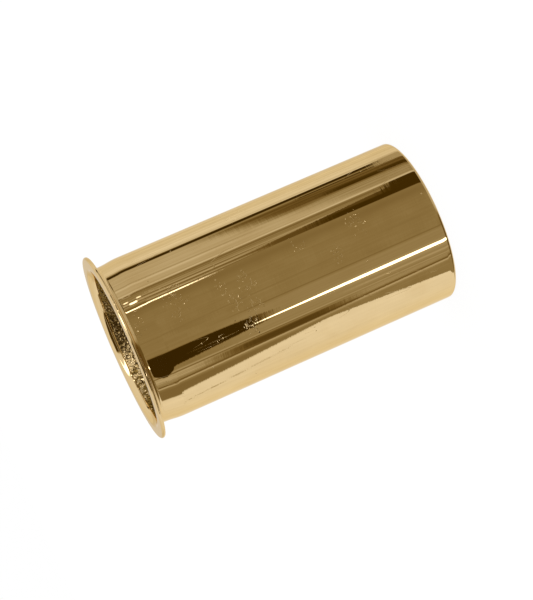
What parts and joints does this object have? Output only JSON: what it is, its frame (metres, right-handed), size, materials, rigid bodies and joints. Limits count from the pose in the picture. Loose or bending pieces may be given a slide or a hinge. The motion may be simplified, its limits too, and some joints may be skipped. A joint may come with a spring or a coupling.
{
  "type": "guitar slide",
  "caption": "Tubular metal guitar slide: a mirror-polished flanged shell over a thick sleeve with a rough, flared finger bore.",
  "frame": {"origin": "centre of the plain far end, on the plane that the slide stands on", "axes": "+Z along the tube's axis, from the far end to the flange and the finger's mouth"},
  "size_m": [0.03, 0.03, 0.0508],
  "materials": {
    "polished_brass": "mirror polished, gold tone",
    "rough_brass": "rough as cast, gold tone"
  },
  "bodies": {
    "root": {"flanged_shell": "polished_brass", "grip_sleeve": "rough_brass"}
  },
  "joints": []
}
